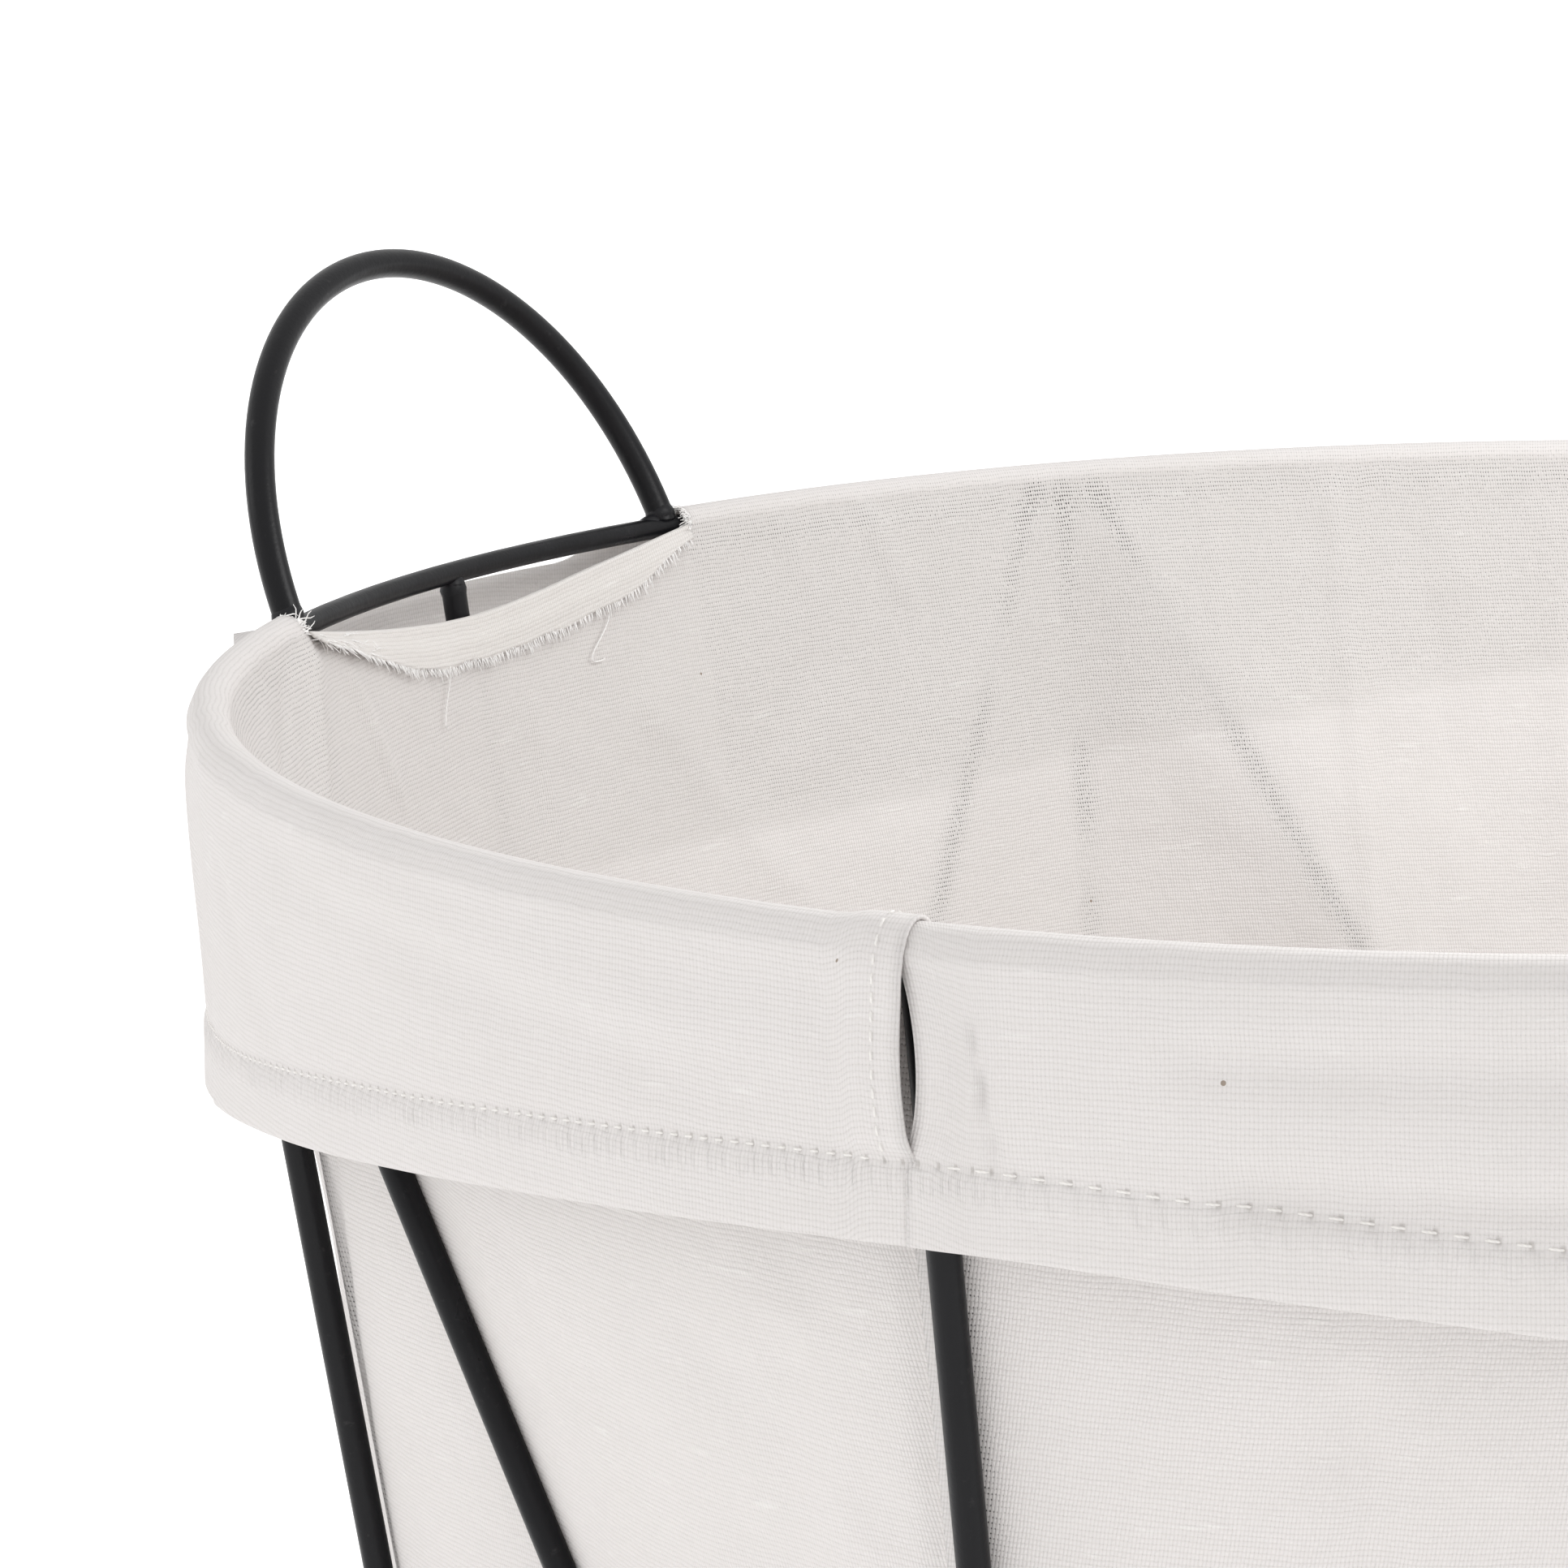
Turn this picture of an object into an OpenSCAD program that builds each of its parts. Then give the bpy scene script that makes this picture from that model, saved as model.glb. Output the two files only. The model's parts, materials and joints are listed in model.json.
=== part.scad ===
// Round wire basket with a lift-out cloth liner.
// The welded wire frame stands on its base ring. The liner hangs inside it, folds over the
// rim and falls outside as a hemmed cuff, with a slit on each side for the handle.
// Origin: centre of the base, on the floor. +X right, +Y back, +Z up.

/* [Frame] */
// Radius of the rim, to the centre of its wire
rim_radius = 215; // [195:1:235]
// Height of the rim wire's centre above the floor
rim_height = 272; // [240:1:320]
// Thickness of the rim wire
rim_wire = 4; // [3.5:0.1:4.5]
// Radius of the base ring, to the centre of its wire
base_radius = 180; // [165:1:190]
// Thickness of the uprights, the braces, the base ring and the base bars
frame_wire = 4.5; // [4:0.1:5]
// Distance along a ring from an upright to the brace welded beside it
brace_spacing = 6; // [5.5:0.1:9]
// Angle by which the back corner uprights stand nearer to the handles than the front ones
back_corner_turn = 4.5; // [0:0.5:5]

/* [Handles] */
// Radius of a handle's half circle, to the centre of its wire
handle_radius = 60; // [50:1:70]
// Thickness of the handle wire
handle_wire = 5.2; // [4.5:0.1:6]
// Angle by which a handle leans outwards from upright
handle_lean = 22; // [0:1:25]

/* [Liner] */
// Thickness of the cloth
cloth = 0.7; // [0.5:0.1:1]
// Free space between the cloth and the rim wire that it folds over
rim_gap = 0.8; // [0.7:0.1:1.5]
// Height of the cuff, from the rim wire's centre to the bottom of the hem
cuff_drop = 50; // [35:1:60]
// Height of the hem along the bottom of the cuff
hem_height = 11; // [8:1:15]
// How far the cuff stands out from the rim behind a handle
cuff_flare = 20; // [20:1:28]
// Half the width over which the cuff stands out behind a handle
flare_half_width = 78; // [76:1:90]
// How far the slit's inner edge sags below the rim wire's centre
slit_sag = 8.3; // [6:0.1:12]
// Height of the turned-in band along the slit's inner edge
facing_height = 7.2; // [5:0.1:10]

/* [Hidden] */
// Places of the uprights round the basket, from the right handle on
STATIONS = ["right", "back_right", "back", "back_left", "left", "front_left", "front", "front_right"];
CORNERS = [1, 3, 5, 7];
SIDES = [-1, 1];
function upright_name(i) = str("upright_", STATIONS[i]);
function neighbour(i, side) = (i + side + 8) % 8;
function station_angle(i) = 45 * i + (i == 1 ? -back_corner_turn : i == 3 ? back_corner_turn : 0);
function station_gap(i, side) =
    (side * (station_angle(neighbour(i, side)) - station_angle(i)) + 360) % 360;
function brace_name(i, side) = str("brace_", STATIONS[i], "_to_", STATIONS[neighbour(i, side)]);

$fn = 128;
wire_fn = 32;
black = "#2f2e31";
cotton = "#e6e2dd";

weld_sink = 0.25;          // how deep a wire's end is sunk into the ring that it is welded to
big = 1000;                // larger than the whole basket
base_centre = frame_wire / 2;

// Turns along the rim and the base ring that bring a brace beside its upright
rim_turn = brace_spacing / rim_radius * 180 / PI;
base_turn = brace_spacing / base_radius * 180 / PI;
widest_turn = station_gap(3, -1) - rim_turn - base_turn;

// The handle's feet stand on the rim, one handle radius to each side of the X axis
foot_x = sqrt(pow(rim_radius, 2) - pow(handle_radius, 2));
foot_gap = 0.9;            // free space between a handle's foot and the end of its slit
slit_half_width = handle_radius + handle_wire / 2 + foot_gap;

// Cloth that hangs next to the rim wire, inside and outside
fold_radius = rim_wire / 2 + rim_gap;
cuff_radius = rim_radius + fold_radius;
hem_top = rim_height - cuff_drop + hem_height;
hem_thickness = 1.6;       // the hem's folded cloth and its seam
seam_lap_width = 6;
floor_gap = 0.35;          // free space between the liner's bottom and the base bars
liner_floor = frame_wire + floor_gap;
lip_drop = 5.5;            // how far the flap's top edge lies below the rim wire's centre

// The straight braces pass inside the cone of the uprights, the back pair with the widest turn
// the furthest, so the wall is drawn in with them
wall_steps = 10;
brace_lowest_t = 0.8;
brace_clearance = fold_radius;
function share(z) = (rim_height - z) / (rim_height - base_centre);
function brace_radius(t) =
    let (a = (1 - t) * rim_radius, b = t * base_radius)
    sqrt(a * a + b * b + 2 * a * b * cos(widest_turn));
function wall_radius(z) = brace_radius(min(share(z), brace_lowest_t)) - brace_clearance;

// Circle whose arc gives the outline of the cuff where it stands out behind a handle
flare_edge_x = sqrt(pow(cuff_radius, 2) - pow(flare_half_width, 2));
flare_top_x = rim_radius + cuff_flare;
flare_centre = (pow(flare_top_x, 2) - pow(flare_half_width, 2) - pow(flare_edge_x, 2))
    / (2 * (flare_top_x - flare_edge_x));
flare_radius = flare_top_x - flare_centre;

// Circle whose arc gives the sagging edge of the slit, through the rim's height at both ends
slit_end_reach = 2.5;      // how far the arc runs on past each end of the slit
slit_arc_half = slit_half_width + slit_end_reach;
slit_arc_radius = (pow(slit_arc_half, 2) + pow(slit_sag, 2)) / (2 * slit_sag);
slit_arc_height = rim_height - slit_sag + slit_arc_radius;

function ring_point(radius, angle, height) = [radius * cos(angle), radius * sin(angle), height];

module ring(radius, height, wire) {
    rotate_extrude()
        translate([radius, height])
            circle(d = wire, $fn = wire_fn);
}

// Everything between two heights
module slab(low, high) {
    translate([-big / 2, -big / 2, low])
        cube([big, big, high - low]);
}

// The half of space on one side of the plane of the side seams
module half_space(side) {
    translate([side > 0 ? 0 : -big, -big / 2, -big / 2])
        cube([big, big, big]);
}

// Straight wire between two points
module rod(from, to, wire) {
    v = to - from;
    translate(from)
        rotate([0, acos(v.z / norm(v)), atan2(v.y, v.x)])
            cylinder(d = wire, h = norm(v), $fn = wire_fn);
}

// Straight wire between the rim and the base ring, cut level where it meets them
module side_wire(rim_angle, base_angle) {
    color(black)
    intersection() {
        rod(ring_point(base_radius, base_angle, base_centre),
            ring_point(rim_radius, rim_angle, rim_height), frame_wire);
        slab(frame_wire - weld_sink, rim_height - rim_wire / 2 + weld_sink);
    }
}

module rim_ring() {
    color(black) ring(rim_radius, rim_height, rim_wire);
}

module base_ring() {
    color(black) ring(base_radius, base_centre, frame_wire);
}

// Bar across the whole base, level with the base ring
module base_bar() {
    reach = base_radius - frame_wire / 2 + weld_sink;
    color(black) rod([-reach, 0, base_centre], [reach, 0, base_centre], frame_wire);
}

// Bar from the cross bar to the base ring
module base_half_bar(side) {
    start = frame_wire / 2 - weld_sink;
    end = base_radius - frame_wire / 2 + weld_sink;
    color(black) rod([0, side * start, base_centre], [0, side * end, base_centre], frame_wire);
}

module upright(i) {
    rotate([0, 0, station_angle(i)])
        side_wire(0, 0);
}

// Brace from the top of a corner upright to the foot of the next upright on one side
module brace(i, side) {
    rotate([0, 0, station_angle(i)])
        mirror([0, max(side, 0), 0])
            side_wire(-rim_turn, base_turn - station_gap(i, side));
}

// Half hoop that stands on the rim and leans outwards
module handle(side) {
    color(black)
    intersection() {
        translate([side * foot_x, 0, rim_height])
            rotate([0, side * handle_lean, 0])
                rotate([90, 0, 90])
                    rotate_extrude(angle = 180)
                        translate([handle_radius, 0])
                            circle(d = handle_wire, $fn = wire_fn);
        slab(rim_height + rim_wire / 2 - weld_sink, rim_height + big / 2);
    }
}

// Closed shell of the liner's wall, moved inwards by inset
module wall_shell(inset, thickness) {
    heights = [for (i = [0:wall_steps]) rim_height + (liner_floor - rim_height) * i / wall_steps];
    outside = [for (z = heights) [wall_radius(z) - inset, z]];
    inside = [for (i = [wall_steps:-1:0]) [wall_radius(heights[i]) - inset - thickness, heights[i]]];
    rotate_extrude()
        polygon(concat(outside, inside));
}

// What lies above the sagging edge of the slit, or above an edge lower by drop
module above_slit_edge(side, drop) {
    translate([side * rim_radius, 0, slit_arc_height])
        rotate([0, 90, 0])
            cylinder(r = slit_arc_radius + drop, h = rim_radius, center = true);
}

// Half of the wall, from side seam to side seam
module liner_wall(side) {
    color(cotton)
    difference() {
        intersection() {
            wall_shell(0, cloth);
            half_space(side);
        }
        above_slit_edge(side, 0);
    }
}

module liner_bottom() {
    color(cotton)
    translate([0, 0, liner_floor])
        cylinder(r = wall_radius(liner_floor) - cloth, h = cloth);
}

// Raw edge of the slit, turned in against the wall
module slit_facing(side) {
    color(cotton)
    difference() {
        intersection() {
            wall_shell(cloth, cloth);
            above_slit_edge(side, facing_height);
            half_space(side);
            translate([-big / 2, -handle_radius, 0])
                cube([big, 2 * handle_radius, big]);
        }
        above_slit_edge(side, 0);
    }
}

// Outline of the cuff seen from above, grown by more
module cuff_outline(more) {
    circle(r = cuff_radius + more);
    for (side = SIDES)
        translate([side * flare_centre, 0])
            circle(r = flare_radius + more);
}

// Upright band of cloth along the cuff's outline, between two heights
module cuff_band(low, high, inside, outside) {
    translate([0, 0, low])
        linear_extrude(height = high - low)
            difference() {
                cuff_outline(outside);
                cuff_outline(inside);
            }
}

// Cloth turned over the rim wire
module rim_fold() {
    rotate_extrude()
        translate([rim_radius, rim_height])
            intersection() {
                difference() {
                    circle(r = fold_radius + cloth, $fn = wire_fn);
                    circle(r = fold_radius, $fn = wire_fn);
                }
                translate([-big / 4, 0])
                    square([big / 2, big / 2]);
            }
}

// Half of the cuff: the fold over the rim, open at the slit, and the flap outside it
module cuff(side) {
    color(cotton)
    intersection() {
        difference() {
            union() {
                rim_fold();
                cuff_band(hem_top, rim_height, 0, cloth);
            }
            translate([side * rim_radius - big / 4, -slit_half_width, rim_height - lip_drop])
                cube([big / 2, 2 * slit_half_width, big]);
        }
        half_space(side);
    }
}

// Doubled edge along the bottom of half of the cuff
module hem(side) {
    color(cotton)
    intersection() {
        cuff_band(rim_height - cuff_drop, hem_top, cloth - hem_thickness, cloth);
        half_space(side);
    }
}

// Edge of one panel lapped over the other where they are sewn together on the cuff
module cuff_seam(side) {
    color(cotton)
    intersection() {
        cuff_band(rim_height - cuff_drop, rim_height, cloth, 2 * cloth);
        translate([-seam_lap_width, side > 0 ? 0 : -big, 0])
            cube([seam_lap_width, big, big]);
    }
}

rim_ring();
base_ring();
base_bar();
base_half_bar(-1);  // base_half_bar_front
base_half_bar(1);  // base_half_bar_back
for (i = [0:7])
    upright(i);
for (i = CORNERS)
    for (side = SIDES)
        brace(i, side);
handle(-1);  // left_handle
handle(1);  // right_handle
liner_wall(-1);  // liner_wall_left
liner_wall(1);  // liner_wall_right
liner_bottom();
cuff(-1);  // cuff_left
cuff(1);  // cuff_right
hem(-1);  // hem_left
hem(1);  // hem_right
cuff_seam(-1);  // cuff_seam_front
cuff_seam(1);  // cuff_seam_back
slit_facing(-1);  // slit_facing_left
slit_facing(1);  // slit_facing_right
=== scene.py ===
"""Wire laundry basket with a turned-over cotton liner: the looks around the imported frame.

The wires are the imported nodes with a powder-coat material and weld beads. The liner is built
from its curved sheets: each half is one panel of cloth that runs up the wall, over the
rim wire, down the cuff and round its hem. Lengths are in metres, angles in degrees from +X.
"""
import json
import math
import random

import bmesh
import bpy
import numpy as np
from mathutils import Matrix, Vector, noise


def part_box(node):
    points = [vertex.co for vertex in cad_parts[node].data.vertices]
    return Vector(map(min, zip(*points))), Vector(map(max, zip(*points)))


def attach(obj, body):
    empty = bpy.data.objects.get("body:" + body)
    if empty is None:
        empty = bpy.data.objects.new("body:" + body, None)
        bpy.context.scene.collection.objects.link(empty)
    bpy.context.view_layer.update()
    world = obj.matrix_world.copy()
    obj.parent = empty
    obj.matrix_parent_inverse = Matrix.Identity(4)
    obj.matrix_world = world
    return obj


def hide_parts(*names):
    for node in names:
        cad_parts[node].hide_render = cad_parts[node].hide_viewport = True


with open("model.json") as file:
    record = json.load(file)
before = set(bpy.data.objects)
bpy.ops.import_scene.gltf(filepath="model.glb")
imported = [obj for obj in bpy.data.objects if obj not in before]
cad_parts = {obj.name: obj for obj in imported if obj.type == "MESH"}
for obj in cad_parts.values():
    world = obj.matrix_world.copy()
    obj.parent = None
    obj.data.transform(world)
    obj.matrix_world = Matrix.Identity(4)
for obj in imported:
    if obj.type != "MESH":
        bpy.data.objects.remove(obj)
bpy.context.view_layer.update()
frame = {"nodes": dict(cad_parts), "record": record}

MM = 0.001
NODES = frame["nodes"]
SIDES = {"left": -1, "right": 1}

# ---------------------------------------------------------------- sizes taken from the frame

rim_low, rim_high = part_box("rim_ring")
RIM_WIRE = rim_high.z - rim_low.z
RIM_Z = (rim_low.z + rim_high.z) / 2
RIM_R = rim_high.x - RIM_WIRE / 2
base_low, base_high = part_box("base_ring")
WIRE = base_high.z - base_low.z
BASE_Z = (base_low.z + base_high.z) / 2
BASE_R = base_high.x - WIRE / 2
HANDLE_WIRE = 5.2 * MM
HANDLE_LEAN = 22                         # outwards from upright
FOOT_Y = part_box("left_handle")[1].y - HANDLE_WIRE / 2
FLOOR_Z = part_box("liner_bottom")[0].z

CLOTH = 0.6 * MM
CLEARANCE = 0.45 * MM                    # free space between the cloth and the wires
FOLD_R = RIM_WIRE / 2 + 1.0 * MM         # middle of the cloth round the rim wire
HEM_HEIGHT = 10.5 * MM
SLIT_HALF = FOOT_Y + HANDLE_WIRE / 2 + 0.9 * MM
SLIT_ANGLE = math.degrees(math.asin(SLIT_HALF / RIM_R))
SLIT_SAG = 8.3 * MM
FACING_HEIGHT = 7.4 * MM
WARP_PITCH = 0.53 * MM
WEFT_PITCH = 0.81 * MM


def smooth(x):
    x = np.clip(x, 0.0, 1.0)
    return x * x * (3 - 2 * x)


def bump(x, width):
    return np.exp(-(x / width) ** 2)


def turn_between(a, b):
    """Angle from b to a, from -180 to 180."""
    return (a - b + 180) % 360 - 180


def wire_line(name):
    """Middle of the top and of the bottom end of a straight wire of the frame."""
    co = np.array([v.co for v in NODES[name].data.vertices])
    top = co[co[:, 2] > co[:, 2].max() - MM].mean(0)
    bottom = co[co[:, 2] < co[:, 2].min() + MM].mean(0)
    return top, bottom


BRACES = [n for n in NODES if n.startswith("brace_")]
UPRIGHTS = [n for n in NODES if n.startswith("upright_")]
LINES = [(wire_line(n), n in UPRIGHTS) for n in BRACES + UPRIGHTS]


def wires_at(z):
    """Angle, radius and kind of every side wire at a height, in order of angle."""
    found = []
    for (top, bottom), is_upright in LINES:
        p = bottom + (top - bottom) * (z - bottom[2]) / (top[2] - bottom[2])
        found.append((math.degrees(math.atan2(p[1], p[0])) % 360, math.hypot(p[0], p[1]), is_upright))
    return sorted(found)


# ---------------------------------------------------------------- shape of the hanging cloth

RING_STEP = 0.25
RING = np.arange(0, 360, RING_STEP)
RING_SOFTNESS = 1.4                      # how gently the cloth turns at a wire
RING_REACH = 16                          # steps on each side that this takes in
WIRE_SIDE = WIRE / 2 + CLEARANCE + CLOTH / 2   # from a wire's middle to the middle of the cloth


def contact_ring(z):
    """Radius of the wall at each angle of RING: it lies on the uprights and braces, and bulges
    towards the uprights between the braces."""
    wires = wires_at(z)
    before = [(a - 360, r, u) for a, r, u in wires[-2:]]
    after = [(a + 360, r, u) for a, r, u in wires[:2]]
    wires = before + wires + after
    radius = np.zeros(len(RING))
    for (a0, r0, upright0), (a1, r1, _) in zip(wires, wires[1:]):
        inside = (RING >= a0) & (RING < a1)
        f = (RING[inside] - a0) / max(a1 - a0, 1e-6)
        f = f if upright0 else 1 - f
        outer, inner = (r0, r1) if upright0 else (r1, r0)
        radius[inside] = outer - (outer - inner) * f ** 1.2
    kernel = bump(np.arange(-RING_REACH, RING_REACH + 1) * RING_STEP, RING_SOFTNESS)
    padded = np.concatenate([radius[-RING_REACH:], radius, radius[:RING_REACH]])
    return np.convolve(padded, kernel / kernel.sum(), "valid") - WIRE_SIDE


def wire_distance(theta, z):
    """Distance along the wall from each angle to the nearest side wire at a height."""
    nearest = np.full(len(theta), 1.0)
    for angle, radius, _ in wires_at(z):
        nearest = np.minimum(nearest, np.abs(np.radians(turn_between(theta, angle))) * radius)
    return nearest


# Soft folds of the wall: angle and depth below the rim (mm) of both ends, width and height (mm)
WALL_FOLDS = [
    (151.5, 0, 149.6, 20, 2.2, -0.7), (157.0, 0, 155.5, 16, 2.0, -0.5), (146.5, 2, 147.5, 26, 2.4, -0.6),
    (124.2, 4, 122.8, 110, 2.6, -1.1), (120.0, 0, 118.0, 60, 4.0, 0.5), (131.5, 0, 131.0, 30, 3.0, -0.6),
    (193.3, 8, 190.1, 34, 2.0, -0.9), (197.0, 2, 203.0, 46, 3.0, -0.9), (200.0, 0, 209.0, 30, 2.2, 0.6),
    (176.2, 26, 175.0, 70, 2.5, -0.6), (168.0, 30, 158.0, 78, 4.0, -0.5), (112.0, 10, 111.0, 80, 4.0, -0.6),
    (105.0, 0, 107.0, 90, 5.0, -0.7), (226.8, 52, 225.4, 100, 1.1, -0.9), (262.0, 60, 259.0, 150, 5.0, -0.6),
    (284.0, 55, 287.0, 160, 4.5, -0.9), (300.0, 48, 303.0, 150, 5.0, -0.8),
    (328.0, 20, 331.0, 130, 4.0, -0.8),
    (12.0, 20, 9.0, 120, 4.0, -0.7), (36.0, 4, 33.0, 90, 3.5, -0.8), (58.0, 10, 61.0, 140, 5.0, -0.8),
    (76.0, 0, 74.0, 70, 3.0, -0.6), (220.5, 40, 216.5, 220, 9.0, 3.4), (226.0, 46, 224.4, 190, 0.8, -0.9),
]

# Soft folds of the cuff, the same way
CUFF_FOLDS = [
    (236.1, 6, 261.5, 20, 4.0, -0.5), (242.0, 4, 263.0, 13, 3.5, 0.35), (228.0, 12, 236.0, 34, 3.5, -0.45),
    (271.9, 9, 272.9, 24, 0.9, -0.9), (266.5, 6, 268.0, 26, 2.0, -0.3), (216.0, 8, 222.0, 40, 4.0, 0.5),
    (279.5, 10, 300.0, 11, 3.6, -1.1), (300.0, 11, 322.0, 9, 4.0, -0.9), (281.0, 26, 296.0, 27, 3.2, -1.7),
    (296.0, 27, 316.0, 33, 3.6, -1.2), (335.0, 12, 343.0, 40, 4.0, -0.7), (20.0, 10, 30.0, 44, 4.5, -0.7),
    (48.0, 12, 70.0, 20, 4.0, -0.8), (84.0, 8, 78.0, 24, 3.0, -0.6), (92.0, 6, 93.5, 26, 1.0, -0.8),
    (98.0, 24, 118.0, 30, 3.5, -1.1), (128.0, 8, 140.0, 46, 4.5, -0.8), (150.0, 14, 157.0, 50, 4.0, 0.6),
]


def folds(theta, depth, table, radius):
    """Sum of the soft folds at each angle, for one depth (m) or one depth per angle."""
    total = np.zeros(len(theta))
    u = np.radians(turn_between(theta, 180.0)) * radius / MM
    d = np.broadcast_to(depth, theta.shape) / MM
    for a0, d0, a1, d1, width, height in table:
        start = math.radians(turn_between(a0, 180.0)) * radius / MM
        end = start + math.radians(turn_between(a1, a0)) * radius / MM
        around = 2 * math.pi * radius / MM
        du = (u - start + around / 2) % around - around / 2
        line = np.array([end - start, d1 - d0])
        length = np.hypot(*line)
        along = (du * line[0] + (d - d0) * line[1]) / length
        across = (du * line[1] - (d - d0) * line[0]) / length
        ends = smooth(along / 8 + 0.6) * smooth((length - along) / 12 + 0.6)
        total += height * MM * bump(across, width) * ends
    return total


def waves(theta, depth, scale, seed):
    """Smooth seeded unevenness between about -1 and 1."""
    out = np.empty(len(theta))
    for i, angle in enumerate(theta):
        a = math.radians(angle)
        here = Vector((math.cos(a) * scale, math.sin(a) * scale, float(depth) * scale / RIM_R + seed))
        out[i] = noise.noise(here) * 1.6
    return out


def from_handle(theta):
    """Angle from the middle of the nearer handle."""
    return turn_between(theta, np.where(np.cos(np.radians(theta)) < 0, 180.0, 0.0))


def slit_edge_drop(theta):
    """How far the slit's inner edge lies below the rim wire's middle."""
    y = np.sin(np.radians(theta)) * RIM_R
    return SLIT_SAG * np.clip(1 - np.abs(y / (SLIT_HALF + 1.2 * MM)) ** 1.55, 0, 1)


def cuff_depth(theta):
    """Bottom of the hem below the rim wire's middle: drawn up at the side seams, low beside
    the handles."""
    from_seam = 90 - np.abs(from_handle(theta))
    return (37.0 + 22.5 * smooth(from_seam / 70)) * MM


# Circle that the cuff follows where it stands out behind a handle
FLARE = 17.0 * MM
FLARE_HALF = 80.0 * MM


def flare(theta):
    cuff_r = RIM_R + FOLD_R
    edge_x = math.sqrt(cuff_r ** 2 - FLARE_HALF ** 2)
    top_x = cuff_r + FLARE
    centre = (top_x ** 2 - FLARE_HALF ** 2 - edge_x ** 2) / (2 * (top_x - edge_x))
    radius = top_x - centre
    a = np.radians(from_handle(theta))
    out = centre * np.cos(a) + np.sqrt(np.maximum(radius ** 2 - (centre * np.sin(a)) ** 2, 0))
    out = np.where(np.abs(a) < math.pi / 4, out - cuff_r, 0.0)
    softness = 0.8 * MM
    return softness * np.logaddexp(0, np.clip(out / softness, -40, 40))


def lip_drop(theta):
    """How far the flap's free edge behind the handle lies below the rim wire's middle."""
    y = np.sin(np.radians(theta)) * RIM_R / MM
    return (7.9 - 0.034 * y) * (1 - smooth((np.abs(y) - 45) / (SLIT_HALF / MM - 45))) * MM


_rings = {}


def ring_at(z):
    """contact_ring, worked out once for each height."""
    key = round(z, 6)
    if key not in _rings:
        _rings[key] = contact_ring(z)
    return _rings[key]


def wall_radius(theta, z):
    """Middle of the wall's cloth at each angle."""
    depth = RIM_Z - z
    held = ring_at(z)
    ring = np.interp(theta % 360, np.append(RING, 360), np.append(held, held[0]))
    above_floor = smooth((z - FLOOR_Z) / 0.02)
    free = smooth(wire_distance(theta, z) / (14 * MM)) * smooth(depth / (6 * MM)) * above_floor
    uneven = np.minimum(0.0, waves(theta, depth, 5.0, 3.1) * 1.1 * MM) + np.minimum(
        0.0, waves(theta, depth, 13.0, 8.7) * 0.5 * MM)
    creases = folds(theta, depth, WALL_FOLDS, RIM_R) * above_floor
    pleat = np.where(creases > 0, creases * free, creases)
    return np.minimum(ring + uneven * free + pleat, RIM_R - FOLD_R)


def cuff_radius(theta, depth):
    """Middle of the cuff's cloth at each angle, for one depth per angle."""
    share = np.clip(depth / cuff_depth(theta), 0, 1)
    out = RIM_R + FOLD_R + flare(theta) * (1 - 0.22 * share)
    loose = smooth(depth / (8 * MM))
    out = out + folds(theta, depth, CUFF_FOLDS, RIM_R) * smooth(depth / (5 * MM))
    out = out + waves(theta, float(depth.mean()), 6.0, 21.3) * 0.8 * MM * loose
    wire_outside = RIM_R - (RIM_R - BASE_R) * depth / (RIM_Z - BASE_Z) + WIRE / 2 + CLEARANCE + CLOTH
    return np.maximum(out, wire_outside)


# ---------------------------------------------------------------- mesh helpers


def link(name, mesh):
    obj = bpy.data.objects.new(name, mesh)
    bpy.context.scene.collection.objects.link(obj)
    return obj


def polar(radius, theta, z):
    """Points at a radius, an angle and a height for each column."""
    a = np.radians(theta)
    return np.stack([radius * np.cos(a), radius * np.sin(a), z], 1)


def grid_piece(name, points, cloth_uv, marks, keep=None, closed=False, hem=None):
    """Mesh from a grid of points, rows by columns. cloth_uv holds lengths along the threads in
    metres, marks how open the weave is and how much painted shade the cloth gets where it lies
    doubled, hem the place along and below the hem's stitch line in millimetres. keep says which
    faces exist."""
    rows, cols = points.shape[:2]
    last = cols if closed else cols - 1
    r, c = np.meshgrid(np.arange(rows - 1), np.arange(last), indexing="ij")
    if keep is not None:
        r, c = r[keep], c[keep]
    r, c = r.ravel(), c.ravel()
    n = (c + 1) % cols
    corners = np.stack([r * cols + c, r * cols + n, (r + 1) * cols + n, (r + 1) * cols + c], 1)
    used, index = np.unique(corners, return_inverse=True)
    mesh = bpy.data.meshes.new(name)
    mesh.from_pydata(points.reshape(-1, 3)[used].tolist(), [], index.reshape(-1, 4).tolist())
    for layer, values in (("cloth", cloth_uv), ("marks", marks), ("hem", hem)):
        if values is None:
            continue
        uv = mesh.uv_layers.new(name=layer)
        data = values.reshape(-1, 2)[corners.ravel()]
        uv.data.foreach_set("uv", data.astype(np.float32).ravel())
    mesh.polygons.foreach_set("use_smooth", [True] * len(mesh.polygons))
    mesh.update()
    return link(name, mesh)


def thicken(obj, thickness, offset=0.0):
    solid = obj.modifiers.new("cloth thickness", "SOLIDIFY")
    solid.thickness = thickness
    solid.offset = offset
    return obj


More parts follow.
